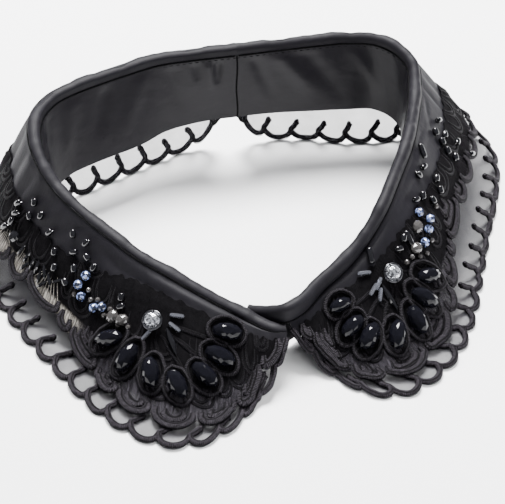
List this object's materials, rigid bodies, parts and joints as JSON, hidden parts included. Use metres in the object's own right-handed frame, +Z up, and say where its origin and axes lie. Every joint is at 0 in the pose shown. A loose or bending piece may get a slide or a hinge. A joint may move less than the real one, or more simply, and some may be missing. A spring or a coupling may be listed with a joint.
{
  "type": "detachable lace collar",
  "caption": "Black satin stand collar folded over into two round-tipped falls, with scalloped lace, sheer organza edging and fans of dark crystals round clear stones.",
  "frame": {"origin": "on the table under the middle of the footprint", "axes": "+Z up, -Y toward the wearer's front where the two falls meet, +X along the width of the collar, toward the right in a view from the front"},
  "size_m": [0.2229, 0.1759, 0.0585],
  "materials": {
    "satin": "black satin, soft sheen",
    "lining": "smooth black satin lining",
    "organza": "sheer black organza with an embroidered edge",
    "lace": "dense matt black embroidery",
    "black_crystal": "faceted black glass",
    "clear_stone": "faceted clear glass in a metal setting"
  },
  "bodies": {
    "root": {"stand_lining_left": "lining", "neck_binding_left": "satin", "fall_satin_left": "satin", "organza_hem_left": "organza", "lace_applique_left": "lace", "clear_stone_left": "clear_stone", "crystal_left_1": "black_crystal", "crystal_left_2": "black_crystal", "crystal_left_3": "black_crystal", "crystal_left_4": "black_crystal", "crystal_left_5": "black_crystal", "crystal_left_6": "black_crystal", "crystal_left_7": "black_crystal", "stand_lining_right": "lining", "neck_binding_right": "satin", "fall_satin_right": "satin", "organza_hem_right": "organza", "lace_applique_right": "lace", "clear_stone_right": "clear_stone", "crystal_right_1": "black_crystal", "crystal_right_2": "black_crystal", "crystal_right_3": "black_crystal", "crystal_right_4": "black_crystal", "crystal_right_5": "black_crystal", "crystal_right_6": "black_crystal", "crystal_right_7": "black_crystal"}
  },
  "joints": []
}
